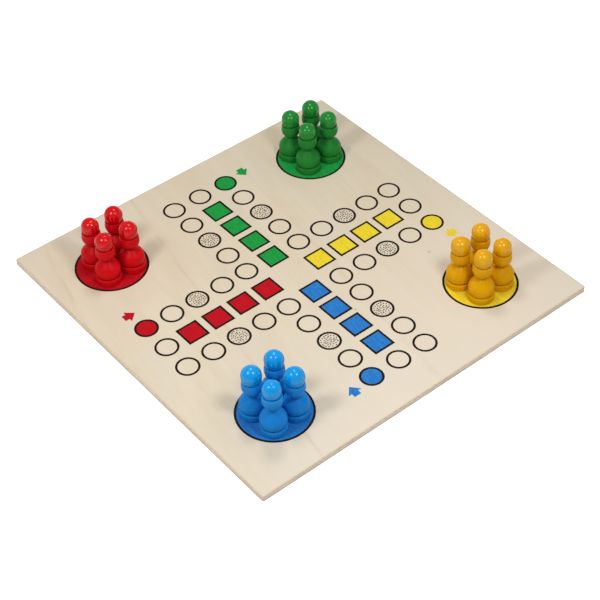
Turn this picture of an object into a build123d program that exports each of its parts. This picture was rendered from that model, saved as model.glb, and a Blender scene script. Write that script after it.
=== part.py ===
"""Ludo board of three-ply birch with sixteen turned wooden pawns.

Origin at the centre of the board's underside, +Z up, millimetres.
Each arm of the track is the one before it turned a quarter turn: red points
to -Y, blue to +X, yellow to +Y and green to -X.
"""
from build123d import *

import os

# Board: two face veneers on a core, glued into one flat panel
board_side = 330.0
face_ply_t = 1.4
core_ply_t = 2.2
corner_r = 2.0
edge_round = 0.4

# Printed ink, laid on the upper face a little off the middle of the board
ink_t = 0.1
line_w = 1.85
ink_gap = 0.02
print_off_x = -0.4
print_off_y = -1.8

# Track: two lanes of round fields on each arm, home squares between them
lane_offset = 27.4
field_pitch = 25.0
steps_out = 4
field_d = 17.85
square_side = 17.85

# Round home yard in each corner of the board, printed a little off its place
yard_offset = 106.4
yard_d = 59.6
yard_shift = {
    "red": (0.9, -0.4),
    "blue": (0.6, 0.9),
    "yellow": (0.1, 0.7),
    "green": (0.0, -0.5),
}

# Arrow beside each arm's start field, pointing along the track
arrow_length = 10.6
arrow_head_length = 7.0
arrow_head_w = 12.4
arrow_shaft_w = 6.2
arrow_out = 129.8
arrow_aside = 47.7

# Turned pawn, from the foot up: radii, and the height of each stretch
foot_r = 10.9
foot_h = 6.2
foot_round = 0.7
lip_in = 1.1
lip_drop = 1.8
foot_dip = 0.5
waist_r = 9.1
waist_h = 1.0
hem_r = 10.2
belly_r = 10.7
belly_rise = 3.8
shoulder_r = 8.5
shoulder_rise = 5.6
slope_rise = 4.3
neck_r = 4.1
neck_h = 2.6
cup_r = 6.9
cup_under = 1.4
collar_r = 8.1
cup_rise = 4.5
cap_rise = 5.0
cap_r = 7.3
cap_dip = 0.5
throat_r = 6.0
throat_h = 0.6
jaw_drop = 4.9
jaw_in = 0.8
head_r = 7.65

# Turned by hand: how much fuller each pawn's head is, and how much taller its shoulder
turned_apart = {
    "red": [(-0.1, 0.2), (-0.25, -0.1), (-0.05, -0.7), (-0.05, -0.3)],
    "blue": [(-0.25, 2.3), (0.4, 0.0), (0.3, -0.9), (0.1, -0.2)],
    "yellow": [(0.0, 0.9), (0.3, 0.0), (-0.3, -0.5), (-0.1, 0.0)],
    "green": [(-0.35, 0.3), (0.1, 0.4), (-0.25, 0.7), (0.15, -0.6)],
}

# Places of the pawns: a two by two group in each yard, set down by hand
stand_gap = 1.2
group_shift = {
    "red": (-0.1, 2.2),
    "blue": (0.8, -0.5),
    "yellow": (-0.1, -1.1),
    "green": (-1.6, 0.7),
}
hand_nudge = {
    "red": [(-0.1, -1.0), (-0.2, 1.1), (0.2, -0.7), (0.2, 0.6)],
    "blue": [(0.4, 1.0), (1.1, -0.5), (-0.9, 0.2), (-0.6, -0.8)],
    "yellow": [(0.6, 1.1), (0.7, -1.0), (-0.4, 0.5), (-0.8, -0.7)],
    "green": [(0.1, -0.2), (0.3, -0.3), (-0.1, 0.6), (-0.2, -0.2)],
}
quarter_of_group = [(1, -1), (-1, -1), (1, 1), (-1, 1)]

# Worked out from the sizes above
board_t = 2 * face_ply_t + core_ply_t
ink_top = board_t + ink_t
colours = ["red", "blue", "yellow", "green"]
yard_corner = {"red": (-1, -1), "blue": (1, -1), "yellow": (1, 1), "green": (-1, 1)}
ring_inner_r = (field_d - line_w) / 2
yard_inner_r = (yard_d - line_w) / 2
square_inner = square_side - line_w
stand_pitch = 2 * foot_r + stand_gap
print_plane = Plane((print_off_x, print_off_y, board_t))

os.makedirs("parts", exist_ok=True)


def export_piece(piece, name):
    """Label one finished piece and write its STEP file."""
    piece.part.label = name
    export_step(piece.part, "parts/" + name + ".step")


def step_out(k):
    """Distance from the centre of the track to step k of an arm."""
    return lane_offset + k * field_pitch


def turned(places, quarters):
    """The places turned about the centre of the track by that many quarter turns."""
    for _ in range(quarters):
        places = [(-y, x) for x, y in places]
    return places


def yard_centre(colour):
    """Centre of one yard, from the centre of the track."""
    corner_x, corner_y = yard_corner[colour]
    shift_x, shift_y = yard_shift[colour]
    return corner_x * yard_offset + shift_x, corner_y * yard_offset + shift_y


# Fields of the first arm, which points to -Y
lane_fields = [(side * lane_offset, -step_out(k)) for side in (-1, 1) for k in range(1, steps_out + 1)]
lane_fields += [(0, -step_out(steps_out)), (-lane_offset, -lane_offset)]
start_field = [(-lane_offset, -step_out(steps_out))]
home_squares = [(0, -step_out(k)) for k in range(steps_out)]
arrow_place = [(-arrow_aside, -arrow_out)]


# Plies of the board
ply_levels = {
    "bottom_ply": (0, face_ply_t),
    "core_ply": (face_ply_t, core_ply_t),
    "top_ply": (face_ply_t + core_ply_t, face_ply_t),
}
for ply_name, (level, thickness) in ply_levels.items():
    with BuildPart() as ply:
        with BuildSketch(Plane.XY.offset(level)):
            RectangleRounded(board_side, board_side, corner_r)
        extrude(amount=thickness)
        if ply_name == "top_ply":
            fillet(ply.faces().sort_by(Axis.Z)[-1].edges(), edge_round)
        if ply_name == "bottom_ply":
            fillet(ply.faces().sort_by(Axis.Z)[0].edges(), edge_round)
    export_piece(ply, ply_name)


# Dark outlines of every field, home square and yard
with BuildPart() as outline:
    with BuildSketch(print_plane):
        for quarter in range(4):
            with Locations(*turned(lane_fields, quarter)):
                Circle((field_d + line_w) / 2)
                Circle(ring_inner_r, mode=Mode.SUBTRACT)
            with Locations(*turned(home_squares, quarter)):
                Rectangle(square_side + line_w, square_side + line_w)
                Rectangle(square_inner, square_inner, mode=Mode.SUBTRACT)
            with Locations(yard_centre(colours[quarter])):
                Circle((yard_d + line_w) / 2)
                Circle(yard_inner_r, mode=Mode.SUBTRACT)
    extrude(amount=ink_t)
export_piece(outline, "outline_print")


# Colour inside one arm's start field, home squares and yard, and its arrow
def arrow_outline():
    """Corners of an arrow that points to +Y, centred on its own length."""
    tip = arrow_length / 2
    barb = tip - arrow_head_length
    right = [(arrow_head_w / 2, barb), (arrow_shaft_w / 2, barb), (arrow_shaft_w / 2, -tip)]
    left = [(-x, y) for x, y in reversed(right)]
    return [(0, tip)] + right + left


for quarter, colour in enumerate(colours):
    with BuildPart() as fill:
        with BuildSketch(print_plane):
            with Locations(*turned(start_field, quarter)):
                Circle(ring_inner_r - ink_gap)
            with Locations(*turned(home_squares, quarter)):
                Rectangle(square_inner - 2 * ink_gap, square_inner - 2 * ink_gap)
            with Locations(yard_centre(colour)):
                Circle(yard_inner_r - ink_gap)
            arrow_x, arrow_y = turned(arrow_place, quarter)[0]
            with Locations(Location((arrow_x, arrow_y), 90 * quarter)):
                Polygon(*arrow_outline(), align=None)
        extrude(amount=ink_t)
    export_piece(fill, colour + "_print")


# Pawn, turned from one piece of wood
belly_low = foot_h + waist_h
belly_z = belly_low + belly_rise
shoulder_z = belly_z + shoulder_rise


def pawn_places(colour):
    """Centres of the four pawns that stand in one yard."""
    yard_x, yard_y = yard_centre(colour)
    shift_x, shift_y = group_shift[colour]
    places = []
    for (side_x, side_y), (nudge_x, nudge_y) in zip(quarter_of_group, hand_nudge[colour]):
        x = yard_x + shift_x + side_x * stand_pitch / 2 + nudge_x
        y = yard_y + shift_y + side_y * stand_pitch / 2 + nudge_y
        places.append((print_off_x + x, print_off_y + y))
    return places


def turned_pawn(x, y, fuller, taller):
    """One pawn standing at that place on the printed face."""
    neck_low = shoulder_z + slope_rise + taller
    neck_top = neck_low + neck_h
    cup_low = neck_top + cup_under
    rim_z = cup_low + cup_rise
    throat_low = rim_z + cap_rise
    throat_top = throat_low + throat_h
    head_z = throat_top + jaw_drop
    ball_r = head_r + fuller
    jaw_r = ball_r - jaw_in
    pawn_h = head_z + ball_r
    side_plane = Plane(origin=(x, y, ink_top), x_dir=(1, 0, 0), z_dir=(0, -1, 0))
    with BuildPart() as pawn:
        with BuildSketch(side_plane):
            with BuildLine():
                Line((0, 0), (foot_r - foot_round, 0))
                TangentArc((foot_r, foot_round), (foot_r - foot_round, 0), tangent=(0, -1))
                Line((foot_r, foot_round), (foot_r, foot_h - lip_drop))
                TangentArc((foot_r, foot_h - lip_drop), (foot_r - lip_in, foot_h), tangent=(0, 1))
                Line((foot_r - lip_in, foot_h), (waist_r, foot_h - foot_dip))
                Line((waist_r, foot_h - foot_dip), (waist_r, belly_low))
                Line((waist_r, belly_low), (hem_r, belly_low))
                TangentArc((belly_r, belly_z), (hem_r, belly_low), tangent=(0, -1))
                TangentArc((belly_r, belly_z), (shoulder_r, shoulder_z), tangent=(0, 1))
                Line((shoulder_r, shoulder_z), (neck_r, neck_low))
                Line((neck_r, neck_low), (neck_r, neck_top))
                Line((neck_r, neck_top), (cup_r, cup_low))
                TangentArc((collar_r, rim_z), (cup_r, cup_low), tangent=(0, -1))
                TangentArc((collar_r, rim_z), (cap_r, throat_low), tangent=(0, 1))
                Line((cap_r, throat_low), (throat_r, throat_low - cap_dip))
                Line((throat_r, throat_low - cap_dip), (throat_r, throat_top))
                Line((throat_r, throat_top), (jaw_r, throat_top))
                TangentArc((ball_r, head_z), (jaw_r, throat_top), tangent=(0, -1))
                TangentArc((ball_r, head_z), (0, pawn_h), tangent=(0, 1))
                Line((0, pawn_h), (0, 0))
            make_face()
        revolve(axis=Axis((x, y, ink_top), (0, 0, 1)))
    return pawn


for colour in colours:
    for number, (x, y) in enumerate(pawn_places(colour), start=1):
        fuller, taller = turned_apart[colour][number - 1]
        export_piece(turned_pawn(x, y, fuller, taller), colour + "_pawn_" + str(number))

print("board", board_side, "x", board_side, "x", board_t)
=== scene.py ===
"""Looks of a plywood ludo board and its sixteen turned pawns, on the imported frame."""
import math
import random

import bmesh
import bpy
from mathutils import Matrix, Vector


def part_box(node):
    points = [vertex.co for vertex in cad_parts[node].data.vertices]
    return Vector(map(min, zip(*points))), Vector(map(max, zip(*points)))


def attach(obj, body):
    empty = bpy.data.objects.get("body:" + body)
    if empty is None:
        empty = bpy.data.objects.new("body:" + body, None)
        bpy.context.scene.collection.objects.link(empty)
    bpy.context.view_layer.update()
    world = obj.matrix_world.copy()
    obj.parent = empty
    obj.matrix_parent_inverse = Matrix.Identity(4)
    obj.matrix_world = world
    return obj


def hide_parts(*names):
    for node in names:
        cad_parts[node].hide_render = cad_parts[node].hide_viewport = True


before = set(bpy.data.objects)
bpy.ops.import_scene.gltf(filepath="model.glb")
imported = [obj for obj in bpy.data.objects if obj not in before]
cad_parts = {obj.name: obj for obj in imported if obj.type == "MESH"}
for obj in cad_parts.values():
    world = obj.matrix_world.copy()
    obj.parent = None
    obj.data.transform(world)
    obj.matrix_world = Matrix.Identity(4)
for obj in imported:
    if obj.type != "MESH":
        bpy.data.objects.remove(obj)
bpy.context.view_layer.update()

# Units and the frame's own sizes
MM = 0.001
COLOURS = ["red", "blue", "yellow", "green"]
PAWN_NUMBERS = (1, 2, 3, 4)
board_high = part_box("top_ply")[1]
HALF_SIDE = board_high.x
FACE_Z = board_high.z
INK_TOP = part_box("outline_print")[1].z

# Camera, measured from the printed grid
PHOTO_PIXELS = 600
FOCAL_PIXELS = 1576.5
SENSOR_WIDTH = 36.0
CAMERA_PLACE = Vector((740.9, -571.8, 882.7)) * MM
CAMERA_AIM = Vector((26.8, -17.6, 5.0)) * MM
CAMERA_ROLL = math.radians(-2.19)
CLIP_NEAR = 10 * MM
CLIP_FAR = 100.0

# Softboxes as place and watts, placed by the highlights on the pawns' heads
LAMPS = {
    "lamp_left": (Vector((13.6, -432.0, 552.0)) * MM, 1.50),
    "lamp_right": (Vector((384.0, -1.8, 585.0)) * MM, 1.45),
    "lamp_top": (Vector((-143.0, 104.0, 640.0)) * MM, 1.02),
}
LAMP_SIDE = 130 * MM
LAMP_COLOUR = (0.97, 0.99, 1.0)

# Fill light, and the white backdrop round the horizon
FILL_STRENGTH = 0.38
FILL_COLOUR = (1.0, 0.95, 0.89, 1)
WHITE = (1, 1, 1, 1)
BACKDROP_TOP = 0.32
BACKDROP_FADE = 0.2

# Floor
FLOOR_HALF = 6.0
FLOOR_DROP = 0.1 * MM
FLOOR_COLOUR = (0.82, 0.82, 0.82, 1)
FLOOR_ROUGH = 0.9
FLOOR_GLOW = 0.68

# Ranges within which most of a noise pattern lies
NOISE_WIDE = (0.3, 0.7)
NOISE_MIDDLE = (0.35, 0.65)


def srgb(red, green, blue):
    """A colour given as 0 to 255 display values, as Blender's linear values."""
    values = []
    for value in (red, green, blue):
        value /= 255
        values.append(value / 12.92 if value <= 0.04045 else ((value + 0.055) / 1.055) ** 2.4)
    return (*values, 1.0)


# Node building: the mix node's sockets for colours
MIX_A = 6
MIX_B = 7
MIX_RESULT = 2


class Tree:
    """Short calls that add and join the nodes of one material or world."""

    def __init__(self, owner):
        owner.use_nodes = True
        self.owner = owner
        self.nodes = owner.node_tree.nodes
        self.links = owner.node_tree.links
        self.place = self.nodes.new("ShaderNodeTexCoord")

    def put(self, socket, value):
        """Link a socket to an output, or set it to a value."""
        if isinstance(value, bpy.types.NodeSocket):
            self.links.new(value, socket)
        else:
            socket.default_value = value

    def put_all(self, node, values):
        """Link or set several sockets of one node by their names."""
        for name, value in values.items():
            self.put(node.inputs[name], value)

    def math(self, operation, a, b=0.0):
        """One sum on two values."""
        node = self.nodes.new("ShaderNodeMath")
        node.operation = operation
        self.put(node.inputs[0], a)
        self.put(node.inputs[1], b)
        return node.outputs[0]

    def weighted(self, *parts):
        """Sum of values, each given with its share."""
        total = 0.0
        for value, share in parts:
            total = self.math("ADD", total, self.math("MULTIPLY", value, share))
        return total

    def mix(self, factor, a, b, blend="MIX"):
        """Colour a at factor 0 and colour b at factor 1."""
        node = self.nodes.new("ShaderNodeMix")
        node.data_type = "RGBA"
        node.blend_type = blend
        self.put(node.inputs[0], factor)
        self.put(node.inputs[MIX_A], a)
        self.put(node.inputs[MIX_B], b)
        return node.outputs[MIX_RESULT]

    def shaded(self, factor, colour, shade):
        """The colour multiplied by a shade, as much as the factor says."""
        return self.mix(factor, colour, self.mix(1.0, colour, shade, "MULTIPLY"))

    def spread(self, value, low, high, to_low=0.0, to_high=1.0):
        """The value's range low to high carried smoothly to another range."""
        node = self.nodes.new("ShaderNodeMapRange")
        node.interpolation_type = "SMOOTHSTEP"
        for socket, number in zip(node.inputs, (value, low, high, to_low, to_high)):
            self.put(socket, number)
        return node.outputs[0]

    def axes(self, vector):
        """The three parts of a vector."""
        node = self.nodes.new("ShaderNodeSeparateXYZ")
        self.put(node.inputs[0], vector)
        return node.outputs

    def here(self):
        """X, Y and Z of the point in the object's own frame."""
        return self.axes(self.place.outputs["Object"])

    def pattern(self, size, turn=0.0, shift=(0, 0, 0)):
        """Object coordinates turned about Z and divided by a size in millimetres."""
        node = self.nodes.new("ShaderNodeMapping")
        node.vector_type = "TEXTURE"
        self.put_all(node, {
            "Vector": self.place.outputs["Object"],
            "Location": [v * MM for v in shift],
            "Rotation": (0, 0, turn),
            "Scale": [v * MM for v in size],
        })
        return node.outputs[0]

    def noise(self, vector, detail=2.0, rough=0.5, warp=0.0, w=None):
        """Noise at a vector, and at a fourth coordinate where one is given."""
        node = self.nodes.new("ShaderNodeTexNoise")
        node.noise_dimensions = "3D" if w is None else "4D"
        values = {"Vector": vector, "Scale": 1.0, "Detail": detail, "Roughness": rough, "Distortion": warp}
        if w is not None:
            values["W"] = w
        self.put_all(node, values)
        return node.outputs[0]

    def bump(self, height, distance, strength):
        """Normal of a surface with that relief."""
        node = self.nodes.new("ShaderNodeBump")
        self.put_all(node, {"Strength": strength, "Distance": distance, "Height": height})
        return node.outputs[0]

    def finish(self, colour, rough, specular, normal):
        """Give the material its surface, and return it."""
        self.put_all(self.nodes["Principled BSDF"], {
            "Base Color": colour,
            "Roughness": rough,
            "Specular IOR Level": specular,
            "Normal": normal,
        })
        return self.owner


# Birch veneer: sizes in millimetres along, across and through the grain
GRAIN_TILT = math.radians(-9)
BROAD_GRAIN = (120, 34, 60)
BAND_GRAIN = (85, 7, 20)
BAND_SHIFT = (11, 3, 0)
FIBRE_GRAIN = (16, 0.55, 2)
CLOUD_SIZE = (4.2, 3.0, 4)
PORE_SIZE = (2.6, 0.16, 1)
PORE_SHIFT = (5, 1, 0)
GREY_PATCH = (70, 50, 60)
GREY_SHIFT = (40, 20, 0)
BROAD_SHARE = 0.5
BAND_SHARE = 0.34
FIBRE_SHARE = 0.10
CLOUD_SHARE = 0.06
TONE_NOISE = (0.30, 0.72)
GREY_NOISE = (0.45, 0.75)
GREY_MOST = 0.7
# Painted light: how far the veneer turns paler towards +X and a little towards +Y, standing in for the
# uneven light across the board
PAINTED_LIGHT_MOST = 0.75
PAINTED_LIGHT_SLANT = 0.35
PAINTED_LIGHT_REACH = 1.1 * HALF_SIDE
PORE_NOISE = (0.66, 0.76)
PORE_DEPTH = 0.45
PORE_RELIEF = -0.8
FACE_ROUGH = (0.52, 0.62)
FACE_SPECULAR = 0.30
FACE_RELIEF = 0.035 * MM
FACE_BUMP = 0.5
BIRCH_PALE = srgb(223, 210, 188)
BIRCH_DEEP = srgb(214, 199, 174)
BIRCH_GREY = srgb(216, 205, 188)
# Painted light: the paler veneer colour on the better lit side of the board
PAINTED_LIGHT_BIRCH = srgb(228, 217, 200)

# Mineral streaks: Y where they cross X = 0, slope, half width, depth of colour
STREAKS = [
    (-79.0, -0.178, 2.6, 0.34),
    (-180.4, -0.260, 2.6, 0.30),
    (31.4, -0.136, 4.0, 0.20),
]
STREAK_BROWN = srgb(196, 172, 136)
WANDER_SIZE = (45, 45, 45)
WANDER_SHIFT = (7, 0, 0)
WANDER_REACH = 5 * MM
FADE_SIZE = (26, 26, 26)
FADE_SHIFT = (0, 9, 0)
FADE_NOISE = (0.34, 0.66)
FADE_LEAST = 0.15

# Pin knots: place and radius
PIN_KNOTS = [(52.4, 98.7, 0.9), (64.1, 8.7, 0.7)]
KNOT_BROWN = srgb(158, 116, 72)
KNOT_DEPTH = 0.85
KNOT_HEART = 0.35
HALO_SPREAD = 3.4
HALO_DEPTH = 0.25

# Edges of the plies: colours as pale and deep, sizes of the figure in millimetres
RIM_W = 1.8 * MM
RIM_TAN = srgb(198, 173, 136)
RIM_DEPTH = 0.55
EDGE_FACING = (0.75, 0.35)
X_FACING = (0.4, 0.75)
FACE_LONG_GRAIN = (srgb(238, 226, 206), srgb(221, 206, 182))
FACE_END_GRAIN = (srgb(232, 217, 197), srgb(208, 191, 168))
CORE_LONG_GRAIN = (srgb(234, 222, 205), srgb(218, 203, 181))
CORE_END_GRAIN = (srgb(230, 216, 196), srgb(210, 194, 170))
# Painted shade: the face plies' edges darker towards the bottom, so the bottom ply's edge is darkest
PAINTED_SHADE_LOW = (0.80, 0.82, 0.86, 1)
PAINTED_SHADE_LOW_FADE = (0.6 * FACE_Z, 0.4 * FACE_Z)
SEAM_BROWN = srgb(144, 118, 88)
SEAM_DEPTH = 0.5
SEAM_FADE = (0.20 * MM, 0.05 * MM)
EDGE_FIBRE = (14, 14, 0.5)
EDGE_PORES = (0.35, 0.35, 0.6)
EDGE_BLOTCH = (22, 22, 6)
BLOTCH_SHIFT = (3, 5, 0)
FIGURE_SHARE = 0.6
BLOTCH_SHARE = 0.4
SAWN_SIZE = (0.6, 0.6, 0.6)
CORE_ROUGH = (0.62, 0.75)
CORE_SPECULAR = 0.25
CORE_RELIEF = 0.05 * MM
CORE_BUMP = 0.5


def fibre_noise(tree):
    """The veneer's fine fibres, which the ink over it shows too."""
    return tree.noise(tree.pattern(FIBRE_GRAIN, GRAIN_TILT), detail=3, rough=0.6)


def veneer_colour(tree, fibre, pores):
    """Face colour of the veneer, with painted light that makes it paler towards +X."""
    broad = tree.noise(tree.pattern(BROAD_GRAIN, GRAIN_TILT), detail=3, rough=0.55, warp=0.4)
    band = tree.noise(tree.pattern(BAND_GRAIN, GRAIN_TILT, BAND_SHIFT), detail=4, rough=0.55, warp=0.6)
    cloud = tree.noise(tree.pattern(CLOUD_SIZE))
    tone = tree.weighted(
        (broad, BROAD_SHARE), (band, BAND_SHARE), (fibre, FIBRE_SHARE), (cloud, CLOUD_SHARE)
    )
    colour = tree.mix(tree.spread(tone, *TONE_NOISE), BIRCH_DEEP, BIRCH_PALE)
    greyer = tree.noise(tree.pattern(GREY_PATCH, GRAIN_TILT, GREY_SHIFT))
    colour = tree.mix(tree.spread(greyer, *GREY_NOISE, 0, GREY_MOST), colour, BIRCH_GREY)
    # Painted light: paler towards +X and a little towards +Y
    x, y, _ = tree.here()
    along = tree.weighted((x, 1.0), (y, PAINTED_LIGHT_SLANT))
    colour = tree.mix(tree.spread(along, 0.0, PAINTED_LIGHT_REACH, 0, PAINTED_LIGHT_MOST), colour, PAINTED_LIGHT_BIRCH)
    colour = tree.mix(tree.math("MULTIPLY", pores, PORE_DEPTH), colour, STREAK_BROWN)
    colour = add_streaks(tree, colour)
    return add_pin_knots(tree, colour)


def add_streaks(tree, colour):
    """Brown mineral streaks that cross the face with the grain."""
    x, y, _ = tree.here()
    wander = tree.noise(tree.pattern(WANDER_SIZE, shift=WANDER_SHIFT), detail=3)
    wander = tree.math("MULTIPLY", tree.math("SUBTRACT", wander, 0.5), WANDER_REACH)
    fade = tree.noise(tree.pattern(FADE_SIZE, shift=FADE_SHIFT), rough=0.6)
    fade = tree.spread(fade, *FADE_NOISE, FADE_LEAST, 1.0)
    for middle, slope, half_width, depth in STREAKS:
        line = tree.math("ADD", tree.math("MULTIPLY", x, slope), middle * MM)
        away = tree.math("SUBTRACT", y, tree.math("ADD", line, wander))
        near = tree.spread(tree.math("ABSOLUTE", away), half_width * MM, 0.0)
        stain = tree.math("MULTIPLY", tree.math("MULTIPLY", near, fade), depth)
        colour = tree.mix(stain, colour, STREAK_BROWN)
    return colour


def add_pin_knots(tree, colour):
    """Tiny knots, each a dot with a faint halo."""
    for x, y, radius in PIN_KNOTS:
        node = tree.nodes.new("ShaderNodeVectorMath")
        node.operation = "DISTANCE"
        tree.put(node.inputs[0], tree.place.outputs["Object"])
        node.inputs[1].default_value = (x * MM, y * MM, FACE_Z)
        away = node.outputs["Value"]
        radius *= MM
        halo = tree.spread(away, HALO_SPREAD * radius, 0.0, 0, HALO_DEPTH)
        colour = tree.mix(halo, colour, STREAK_BROWN)
        dot = tree.spread(away, radius, KNOT_HEART * radius, 0, KNOT_DEPTH)
        colour = tree.mix(dot, colour, KNOT_BROWN)
    return colour


def facing(tree, axis, low, high):
    """How much the surface faces along one axis, 0 at low and 1 at high."""
    part = tree.axes(tree.place.outputs["Normal"])[axis]
    return tree.spread(tree.math("ABSOLUTE", part), low, high)


def sawn_edge(tree, figure, pale, deep):
    """Colour of a sawn and sanded edge with that figure."""
    blotch = tree.noise(tree.pattern(EDGE_BLOTCH, shift=BLOTCH_SHIFT))
    shade = tree.weighted((figure, FIGURE_SHARE), (blotch, BLOTCH_SHARE))
    return tree.mix(tree.spread(shade, *NOISE_MIDDLE), deep, pale)


def ply_edges(tree, long_grain, end_grain, end_on_x):
    """Edges of one ply: long fibres on two sides, and the pores of end grain on the others."""
    fibres = tree.noise(tree.pattern(EDGE_FIBRE), detail=3, rough=0.6)
    pore_dots = tree.noise(tree.pattern(EDGE_PORES), rough=0.6)
    long_edge = sawn_edge(tree, fibres, *long_grain)
    end_edge = sawn_edge(tree, pore_dots, *end_grain)
    on_x = facing(tree, 0, *X_FACING)
    if end_on_x:
        return tree.mix(on_x, long_edge, end_edge)
    return tree.mix(on_x, end_edge, long_edge)


def face_ply_material():
    """Face veneer: sanded face, long grain on the edges along X and end grain on the others, with painted
    shade low on the edges.
    """
    tree = Tree(bpy.data.materials.new("birch_face"))
    fibre = fibre_noise(tree)
    pore = tree.noise(tree.pattern(PORE_SIZE, GRAIN_TILT, PORE_SHIFT), detail=1, rough=0.4)
    pores = tree.spread(pore, *PORE_NOISE)
    colour = veneer_colour(tree, fibre, pores)
    x, y, z = tree.here()
    outward = tree.math("MAXIMUM", tree.math("ABSOLUTE", x), tree.math("ABSOLUTE", y))
    colour = tree.mix(tree.spread(outward, HALF_SIDE - RIM_W, HALF_SIDE, 0, RIM_DEPTH), colour, RIM_TAN)
    edge = ply_edges(tree, FACE_LONG_GRAIN, FACE_END_GRAIN, end_on_x=True)
    # Painted shade: the edge darker towards the bottom
    edge = tree.shaded(tree.spread(z, *PAINTED_SHADE_LOW_FADE), edge, PAINTED_SHADE_LOW)
    colour = tree.mix(facing(tree, 2, *EDGE_FACING), colour, edge)
    height = tree.weighted((fibre, 1.0), (pores, PORE_RELIEF))
    normal = tree.bump(height, FACE_RELIEF, FACE_BUMP)
    return tree.finish(colour, tree.spread(fibre, *NOISE_WIDE, *FACE_ROUGH), FACE_SPECULAR, normal)


def core_ply_material():
    """Core: its grain runs across the faces', so the X edges show long grain."""
    tree = Tree(bpy.data.materials.new("birch_core"))
    colour = ply_edges(tree, CORE_LONG_GRAIN, CORE_END_GRAIN, end_on_x=False)
    _, _, z = tree.here()
    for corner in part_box("core_ply"):
        away = tree.math("ABSOLUTE", tree.math("SUBTRACT", z, corner.z))
        colour = tree.mix(tree.spread(away, *SEAM_FADE, 0, SEAM_DEPTH), colour, SEAM_BROWN)
    sawn = tree.noise(tree.pattern(SAWN_SIZE))
    normal = tree.bump(sawn, CORE_RELIEF, CORE_BUMP)
    return tree.finish(colour, tree.spread(sawn, *NOISE_WIDE, *CORE_ROUGH), CORE_SPECULAR, normal)


# Printing ink: pale, deep
INKS = {
    "outline": (srgb(34, 25, 21), srgb(24, 17, 14)),
    "red": (srgb(194, 20, 34), srgb(176, 12, 24)),
    "blue": (srgb(52, 130, 206), srgb(34, 108, 183)),
    "yellow": (srgb(240, 216, 56), srgb(222, 196, 38)),
    "green": (srgb(36, 160, 72), srgb(22, 138, 56)),
}
MOTTLE_SIZE = (2.2, 1.4, 2)
MOTTLE_SHARE = 0.5
INK_ROUGH = (0.50, 0.62)
INK_SPECULAR = 0.06
INK_RELIEF = 0.012 * MM
INK_BUMP = 0.4


def ink_material(name):
    """Matt screen ink that lets the veneer's fibres show faintly."""
    pale, deep = INKS[name]
    tree = Tree(bpy.data.materials.new(name + "_ink"))
    mottle = tree.noise(tree.pattern(MOTTLE_SIZE), detail=3, rough=0.6)
    shade = tree.weighted((fibre_noise(tree), 1 - MOTTLE_SHARE), (mottle, MOTTLE_SHARE))
    colour = tree.mix(tree.spread(shade, *NOISE_MIDDLE), deep, pale)
    normal = tree.bump(shade, INK_RELIEF, INK_BUMP)
    return tree.finish(colour, tree.spread(mottle, *NOISE_WIDE, *INK_ROUGH), INK_SPECULAR, normal)


# Lacquer over turned wood: head, body. The head colour is painted light, the body colour as it looks in
# the stronger light on the head.
LACQUERS = {
    "red": (srgb(212, 0, 12), srgb(210, 11, 22)),
    "blue": (srgb(0, 154, 230), srgb(26, 134, 219)),
    "yellow": (srgb(229, 168, 0), srgb(227, 166, 0)),
    "green": (srgb(24, 136, 44), srgb(34, 130, 50)),
}
# Height over which the painted light of the head and its glossier lacquer come in
HEAD_PAINTED_LIGHT_AND_GLOSS = (30.0 * MM, 42.0 * MM)
PAINTED_SHADE_LAYER = "painted_shade"
# Painted shade in the grooves and creases
PAINTED_SHADE_HOLLOWS = (0.68, 0.68, 0.68, 1)
GRAIN_SHADE = (0.90, 0.86, 0.90, 1)
TURNED_GRAIN = (0.8, 0.8, 18)
TURNED_PATCH = (9, 9, 14)
TOOL_RINGS = (60, 60, 0.4)
GRAIN_SHARE = 0.6
PATCH_SHARE = 0.4
DARK_NOISE = (0.62, 0.38)
GRAIN_RELIEF = 0.35
RING_RELIEF = 0.65
PAWNS_APART = 40

# Surface of the lacquer: on the body, on the head
LACQUER_ROUGH = (0.38, 0.20)
LACQUER_SPECULAR = (0.08, 0.32)
LACQUER_BUMP = (0.25, 0.03)
LACQUER_RELIEF = 0.012 * MM


def lacquer_material(name):
    """Satin coloured lacquer, through which grain and turning rings just show, with painted light on the
    head and painted shade in the grooves and creases.
    """
    head, body = LACQUERS[name]
    tree = Tree(bpy.data.materials.new(name + "_lacquer"))
    chance = tree.nodes.new("ShaderNodeObjectInfo").outputs["Random"]
    chance = tree.math("MULTIPLY", chance, PAWNS_APART)
    grain = tree.noise(tree.pattern(TURNED_GRAIN), warp=0.2, w=chance)
    patch = tree.noise(tree.pattern(TURNED_PATCH), w=chance)
    ring = tree.noise(tree.pattern(TOOL_RINGS), rough=0.6, w=chance)
    _, _, z = tree.here()
    up = tree.spread(z, *HEAD_PAINTED_LIGHT_AND_GLOSS)
    shade = tree.weighted((grain, GRAIN_SHARE), (patch, PATCH_SHARE))
    # Painted light: the body colour below, its lit copy on the head
    colour = tree.shaded(tree.spread(shade, *DARK_NOISE), tree.mix(up, body, head), GRAIN_SHADE)
    # Painted shade: darker in the grooves and creases, by the depth stored on the mesh
    painted_shade = tree.nodes.new("ShaderNodeAttribute")
    painted_shade.attribute_name = PAINTED_SHADE_LAYER
    colour = tree.shaded(painted_shade.outputs["Fac"], colour, PAINTED_SHADE_HOLLOWS)
    rough = tree.spread(up, 0.0, 1.0, *LACQUER_ROUGH)
    specular = tree.spread(up, 0.0, 1.0, *LACQUER_SPECULAR)
    height = tree.weighted((grain, GRAIN_RELIEF), (ring, RING_RELIEF))
    strength = tree.spread(up, 0.0, 1.0, *LACQUER_BUMP)
    return tree.finish(colour, rough, specular, tree.bump(height, LACQUER_RELIEF, strength))


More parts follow.
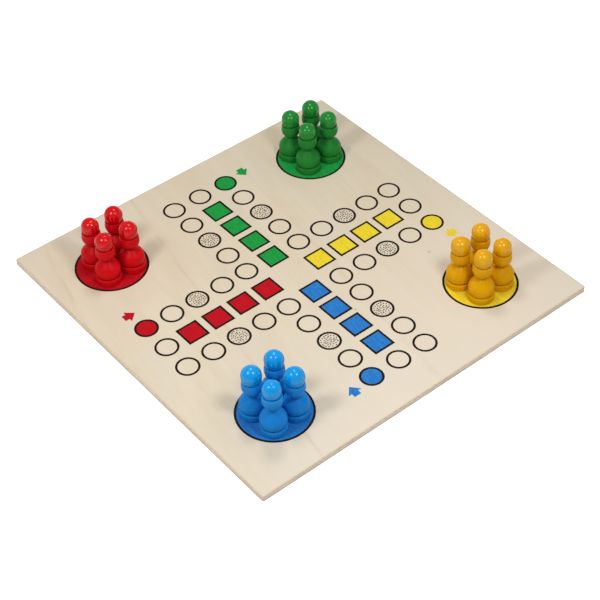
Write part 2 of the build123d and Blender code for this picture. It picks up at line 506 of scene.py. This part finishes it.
# Meshes
def new_object(name, builder, material):
    """Make one object of one material from a filled bmesh."""
    mesh = bpy.data.meshes.new(name)
    builder.to_mesh(mesh)
    builder.free()
    mesh.materials.append(material)
    thing = bpy.data.objects.new(name, mesh)
    bpy.context.scene.collection.objects.link(thing)
    return thing


def new_piece(name, builder, material):
    """Make one piece of the part, with its finish."""
    piece = new_object(name, builder, material)
    return piece


# Pawn profile in millimetres, from the foot up
FOOT_H = 6.2
FOOT_ROUND = 0.7
LIP_IN = 1.1
LIP_DROP = 1.8
FOOT_DIP = 0.5
WAIST_R = 9.1
WAIST_H = 1.0
HEM_R = 10.2
BELLY_R = 10.7
BELLY_RISE = 3.8
SHOULDER_R = 8.5
SHOULDER_RISE = 5.6
SLOPE_RISE = 4.3
NECK_R = 4.1
NECK_H = 2.6
CUP_R = 6.9
CUP_UNDER = 1.4
COLLAR_R = 8.1
CUP_RISE = 4.5
CAP_RISE = 5.0
CAP_R = 7.3
CAP_DIP = 0.5
THROAT_R = 6.0
THROAT_H = 0.6
JAW_DROP = 4.9
JAW_IN = 0.8
HEAD_R = 7.65

# How much fuller each pawn's head is, and how much taller its shoulder
TURNED_APART = {
    "red": [(-0.1, 0.2), (-0.25, -0.1), (-0.05, -0.7), (-0.05, -0.3)],
    "blue": [(-0.25, 2.3), (0.4, 0.0), (0.3, -0.9), (0.1, -0.2)],
    "yellow": [(0.0, 0.9), (0.3, 0.0), (-0.3, -0.5), (-0.1, 0.0)],
    "green": [(-0.35, 0.3), (0.1, 0.4), (-0.25, 0.7), (0.15, -0.6)],
}

# Seed of the pawns' turns about their axes
TURN_SEED = 5

# Fineness of the turned mesh, and steps in each of its arcs
PROFILE_STEP = 0.3
PAWN_SIDES = 72
FOOT_STEPS = 5
LIP_STEPS = 10
HEM_STEPS = 10
BELLY_STEPS = 20
CUP_STEPS = 18
CAP_STEPS = 14
JAW_STEPS = 16
CROWN_STEPS = 28

# Lacquer that fills corners, and painted shade in the grooves and creases, darker the deeper they lie
SOFTENING = 0.16
PAINTED_SHADE_REACH = 3.5
PAINTED_SHADE_DEPTH = 3.2


def bulge(widest, other, steps):
    """Arc from the widest point, where it runs upright, to another point."""
    across = other[0] - widest[0]
    rise = other[1] - widest[1]
    radius = (across * across + rise * rise) / (2 * abs(across))
    centre = widest[0] + math.copysign(radius, across)
    sweep = math.asin(min(1.0, abs(rise) / radius))
    points = []
    for i in range(steps + 1):
        angle = sweep * i / steps
        r = centre - math.copysign(radius * math.cos(angle), across)
        z = widest[1] + math.copysign(radius * math.sin(angle), rise)
        points.append((r, z))
    return points


def swell(low, widest, steps):
    """Arc from a lower point up to the widest point, where it runs upright."""
    return list(reversed(bulge(widest, low, steps)))


def pawn_profile(foot_r, fuller, taller):
    """Half outline of one pawn as (radius, height), from the foot's rim to the crown."""
    belly_low = FOOT_H + WAIST_H
    belly_z = belly_low + BELLY_RISE
    shoulder_z = belly_z + SHOULDER_RISE
    neck_low = shoulder_z + SLOPE_RISE + taller
    neck_top = neck_low + NECK_H
    cup_low = neck_top + CUP_UNDER
    rim_z = cup_low + CUP_RISE
    throat_low = rim_z + CAP_RISE
    throat_top = throat_low + THROAT_H
    head_z = throat_top + JAW_DROP
    head_r = HEAD_R + fuller
    jaw_r = head_r - JAW_IN
    points = swell((foot_r - FOOT_ROUND, 0), (foot_r, FOOT_ROUND), FOOT_STEPS)
    points += bulge((foot_r, FOOT_H - LIP_DROP), (foot_r - LIP_IN, FOOT_H), LIP_STEPS)
    points += [(WAIST_R, FOOT_H - FOOT_DIP), (WAIST_R, belly_low), (HEM_R, belly_low)]
    points += swell((HEM_R, belly_low), (BELLY_R, belly_z), HEM_STEPS)[1:]
    points += bulge((BELLY_R, belly_z), (SHOULDER_R, shoulder_z), BELLY_STEPS)[1:]
    points += [(NECK_R, neck_low), (NECK_R, neck_top), (CUP_R, cup_low)]
    points += swell((CUP_R, cup_low), (COLLAR_R, rim_z), CUP_STEPS)[1:]
    points += bulge((COLLAR_R, rim_z), (CAP_R, throat_low), CAP_STEPS)[1:]
    points += [(THROAT_R, throat_low - CAP_DIP), (THROAT_R, throat_top), (jaw_r, throat_top)]
    points += swell((jaw_r, throat_top), (head_r, head_z), JAW_STEPS)[1:]
    points += bulge((head_r, head_z), (0, head_z + head_r), CROWN_STEPS)[1:]
    return softened(even_steps(points))


def even_steps(points):
    """The outline at even steps of about PROFILE_STEP."""
    runs = [0.0]
    for a, b in zip(points, points[1:]):
        runs.append(runs[-1] + math.dist(a, b))
    count = round(runs[-1] / PROFILE_STEP)
    even = []
    k = 0
    for i in range(count + 1):
        run = runs[-1] * i / count
        while k < len(points) - 2 and runs[k + 1] < run:
            k += 1
        part = (run - runs[k]) / max(runs[k + 1] - runs[k], 1e-9)
        a, b = points[k], points[k + 1]
        even.append((a[0] + part * (b[0] - a[0]), a[1] + part * (b[1] - a[1])))
    return even


def softened(even):
    """The outline with its corners filled as lacquer fills them."""
    smooth = list(even)
    for i in range(1, len(even) - 1):
        smooth[i] = tuple(
            even[i][n] * (1 - 2 * SOFTENING) + (even[i - 1][n] + even[i + 1][n]) * SOFTENING
            for n in (0, 1)
        )
    return smooth


def painted_shade_depths(profile):
    """How deep each point lies between the fuller parts just below and above it, 0 to 1, as the depth of
    its painted shade.
    """
    depths = []
    for r, z in profile:
        below = max(a for a, b in profile if z - PAINTED_SHADE_REACH <= b <= z)
        above = max(a for a, b in profile if z <= b <= z + PAINTED_SHADE_REACH)
        depths.append(min(1.0, (min(below, above) - r) / PAINTED_SHADE_DEPTH))
    return depths


def turned_mesh(profile, sides):
    """The outline turned about Z into a closed skin."""
    builder = bmesh.new()
    # Depth of painted shade, stored on each corner for the lacquer
    painted_shade = builder.verts.layers.float.new(PAINTED_SHADE_LAYER)
    foot = builder.verts.new((0, 0, 0))
    crown = builder.verts.new((0, 0, profile[-1][1] * MM))
    rings = []
    for (r, z), depth in zip(profile[:-1], painted_shade_depths(profile)):
        ring = []
        for i in range(sides):
            angle = 2 * math.pi * i / sides
            corner = builder.verts.new((r * MM * math.cos(angle), r * MM * math.sin(angle), z * MM))
            corner[painted_shade] = depth
            ring.append(corner)
        rings.append(ring)
    for i in range(sides):
        j = (i + 1) % sides
        builder.faces.new((foot, rings[0][j], rings[0][i]))
        builder.faces.new((crown, rings[-1][i], rings[-1][j]))
        for low, high in zip(rings, rings[1:]):
            builder.faces.new((low[i], low[j], high[j], high[i]))
    for face in builder.faces:
        face.smooth = True
    return builder


def make_pawn(colour, number, lacquer, chance):
    """One pawn in place of its CAD node, turned its own way about its axis."""
    name = f"{colour}_pawn_{number}"
    low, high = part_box(name)
    foot_r = (high.x - low.x) / 2 / MM
    profile = pawn_profile(foot_r, *TURNED_APART[colour][number - 1])
    skin = turned_mesh(profile, PAWN_SIDES)
    piece = new_piece(name + "_turned", skin, lacquer)
    turn = Matrix.Rotation(chance.uniform(0, 2 * math.pi), 4, "Z")
    stand = Matrix.Translation(((low.x + high.x) / 2, (low.y + high.y) / 2, low.z))
    piece.matrix_world = stand @ turn
    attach(piece, name)
    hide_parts(name)


# Stippled fields: the third in both lanes of each arm
PRINT_CENTRE = Vector((-0.4, -1.8)) * MM
LANE_OFFSET = 27.4
FIELD_PITCH = 25.0
FIELD_INNER_R = 8.0
STIPPLE_STEP = 2
STIPPLE_COUNT = 40
STIPPLE_MARGIN = 1.0
STIPPLE_R = 0.56
STIPPLE_UNEVEN = (0.8, 1.2)
STIPPLE_SIDES = 9
BEST_OF = 60
STIPPLE_SEED = 11


def stipple_places(chance):
    """Evenly scattered dots inside one field, each the best of several tries."""
    reach = FIELD_INNER_R - STIPPLE_MARGIN
    places = []
    while len(places) < STIPPLE_COUNT:
        tries = []
        while len(tries) < BEST_OF:
            spot = (chance.uniform(-reach, reach), chance.uniform(-reach, reach))
            if math.hypot(*spot) <= reach:
                tries.append(spot)
        places.append(max(tries, key=lambda t: min([math.dist(t, p) for p in places], default=0)))
    return places


def dot_outline(chance):
    """Corners of one uneven dot about its middle."""
    outline = []
    for i in range(STIPPLE_SIDES):
        angle = 2 * math.pi * i / STIPPLE_SIDES
        radius = STIPPLE_R * chance.uniform(*STIPPLE_UNEVEN)
        outline.append((radius * math.cos(angle), radius * math.sin(angle)))
    return outline


def add_dot(builder, x, y, outline):
    """One thin flat dot of ink; outline holds its corners about its middle."""
    low = [builder.verts.new((x + u, y + v, FACE_Z)) for u, v in outline]
    high = [builder.verts.new((x + u, y + v, INK_TOP)) for u, v in outline]
    builder.faces.new(high)
    builder.faces.new(list(reversed(low)))
    for i in range(len(outline)):
        j = (i + 1) % len(outline)
        builder.faces.new((low[i], low[j], high[j], high[i]))


def make_stipple(ink):
    """Dots inside the third field of both lanes on all four arms."""
    chance = random.Random(STIPPLE_SEED)
    dots = [(x, y, dot_outline(chance)) for x, y in stipple_places(chance)]
    builder = bmesh.new()
    out = LANE_OFFSET + STIPPLE_STEP * FIELD_PITCH
    for quarter in range(4):
        turn = Matrix.Rotation(quarter * math.pi / 2, 2)
        for side in (-1, 1):
            for x, y, outline in dots:
                middle = turn @ Vector((side * LANE_OFFSET + x, -out + y)) * MM + PRINT_CENTRE
                corners = [turn @ Vector(corner) * MM for corner in outline]
                add_dot(builder, middle.x, middle.y, corners)
    piece = new_piece("stipple_print", builder, ink)
    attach(piece, "board")


# Finishes of the nodes that keep their CAD shapes
def dress_nodes(inks):
    """Give the plies and the prints their materials."""
    face_ply = face_ply_material()
    finishes = {"bottom_ply": face_ply, "core_ply": core_ply_material(), "top_ply": face_ply}
    finishes["outline_print"] = inks["outline"]
    for colour in COLOURS:
        finishes[colour + "_print"] = inks[colour]
    for node_name, material in finishes.items():
        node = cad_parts[node_name]
        node.data.materials.clear()
        node.data.materials.append(material)


# Stage
def seen_by_eye(tree):
    """1 on the rays that a viewer sees directly, in a reflection or through glass."""
    path = tree.nodes.new("ShaderNodeLightPath")
    seen = path.outputs["Is Camera Ray"]
    for name in ("Is Glossy Ray", "Is Transmission Ray"):
        seen = tree.math("MAXIMUM", seen, path.outputs[name])
    return seen


def floor_material():
    """White that glows a little to the viewer, so that it looks white where it's lit."""
    tree = Tree(bpy.data.materials.new("floor_white"))
    tree.put_all(tree.nodes["Principled BSDF"], {
        "Base Color": FLOOR_COLOUR,
        "Roughness": FLOOR_ROUGH,
        "Specular IOR Level": 0.0,
        "Emission Color": WHITE,
        "Emission Strength": tree.math("MULTIPLY", seen_by_eye(tree), FLOOR_GLOW),
    })
    return tree.owner


def make_floor():
    """Pale floor that keeps the shadow."""
    builder = bmesh.new()
    corners = [(-1, -1), (1, -1), (1, 1), (-1, 1)]
    places = [(x * FLOOR_HALF, y * FLOOR_HALF, -FLOOR_DROP) for x, y in corners]
    builder.faces.new([builder.verts.new(place) for place in places])
    floor = new_object("floor", builder, floor_material())


def make_world():
    """Even fill light, with a white backdrop seen round the horizon."""
    world = bpy.data.worlds.new("studio")
    bpy.context.scene.world = world
    tree = Tree(world)
    fill = tree.nodes["Background"]
    tree.put_all(fill, {"Color": FILL_COLOUR, "Strength": FILL_STRENGTH})
    white = tree.nodes.new("ShaderNodeBackground")
    tree.put_all(white, {"Color": WHITE, "Strength": 1.0})
    _, _, rise = tree.axes(tree.place.outputs["Generated"])
    low = tree.spread(rise, BACKDROP_TOP, BACKDROP_TOP - BACKDROP_FADE)
    choose = tree.nodes.new("ShaderNodeMixShader")
    tree.put(choose.inputs[0], tree.math("MULTIPLY", seen_by_eye(tree), low))
    tree.put(choose.inputs[1], fill.outputs[0])
    tree.put(choose.inputs[2], white.outputs[0])
    tree.put(tree.nodes["World Output"].inputs["Surface"], choose.outputs[0])


def make_lamps():
    """Square softboxes turned to the middle of the board."""
    for name, (place, power) in LAMPS.items():
        light = bpy.data.lights.new(name, "AREA")
        light.shape = "SQUARE"
        light.size = LAMP_SIDE
        light.energy = power
        light.color = LAMP_COLOUR
        lamp = bpy.data.objects.new(name, light)
        lamp.location = place
        lamp.rotation_euler = (-place).to_track_quat("-Z", "Y").to_euler()
        lamp.visible_camera = False
        bpy.context.scene.collection.objects.link(lamp)


def make_camera():
    """Camera at the photograph's place and angle."""
    data = bpy.data.cameras.new("camera")
    data.sensor_width = SENSOR_WIDTH
    data.sensor_fit = "HORIZONTAL"
    data.lens = FOCAL_PIXELS / PHOTO_PIXELS * SENSOR_WIDTH
    data.clip_start = CLIP_NEAR
    data.clip_end = CLIP_FAR
    camera = bpy.data.objects.new("camera", data)
    look = (CAMERA_AIM - CAMERA_PLACE).to_track_quat("-Z", "Y").to_matrix().to_4x4()
    roll = Matrix.Rotation(CAMERA_ROLL, 4, "Z")
    camera.matrix_world = Matrix.Translation(CAMERA_PLACE) @ look @ roll
    bpy.context.scene.collection.objects.link(camera)
    bpy.context.scene.camera = camera


make_camera()
make_lamps()
make_world()
make_floor()
bpy.context.scene.view_settings.view_transform = "Standard"

inks = {name: ink_material(name) for name in INKS}
lacquers = {name: lacquer_material(name) for name in LACQUERS}
dress_nodes(inks)
make_stipple(inks["outline"])
turns = random.Random(TURN_SEED)
for colour in COLOURS:
    for number in PAWN_NUMBERS:
        make_pawn(colour, number, lacquers[colour], turns)
